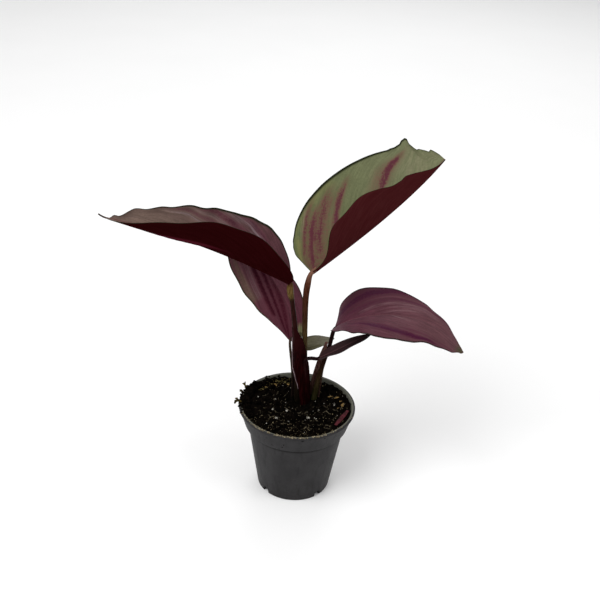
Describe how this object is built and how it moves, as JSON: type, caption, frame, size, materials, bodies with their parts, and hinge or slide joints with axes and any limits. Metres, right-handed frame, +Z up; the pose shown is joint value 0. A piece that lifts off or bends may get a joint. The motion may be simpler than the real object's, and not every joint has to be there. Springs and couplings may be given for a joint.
{
  "type": "potted silver plate calathea",
  "caption": "Young prayer plant with broad folded leaves, silvery green and maroon above and burgundy beneath, in a small tapered grey nursery pot of soil.",
  "frame": {"origin": "middle of the pot's flat underside, on the surface that the pot stands on", "axes": "+Z up along the pot's axis, -Y towards the side that the picture was taken from, +X to the right there"},
  "size_m": [0.1656, 0.0695, 0.1614],
  "materials": {
    "pot_plastic": "matte",
    "soil": "matte",
    "leaf_left": "satin",
    "leaf_upper": "satin",
    "leaf_back": "satin",
    "leaf_right": "satin",
    "leaf_small_front": "satin",
    "leaf_small_back": "satin",
    "petiole": "satin",
    "sheath": "satin",
    "leaf_scrap": "satin"
  },
  "bodies": {
    "root": {"pot": "pot_plastic", "soil": "soil", "blade_left": "leaf_left", "blade_upper": "leaf_upper", "blade_back": "leaf_back", "blade_right": "leaf_right", "blade_small_front": "leaf_small_front", "blade_small_back": "leaf_small_back", "petiole_left": "petiole", "petiole_upper": "petiole", "petiole_back": "petiole", "petiole_right": "petiole", "petiole_small_front": "petiole", "petiole_small_back": "petiole", "sheath_main": "sheath", "sheath_right": "sheath", "leaf_scrap": "leaf_scrap"}
  },
  "joints": []
}
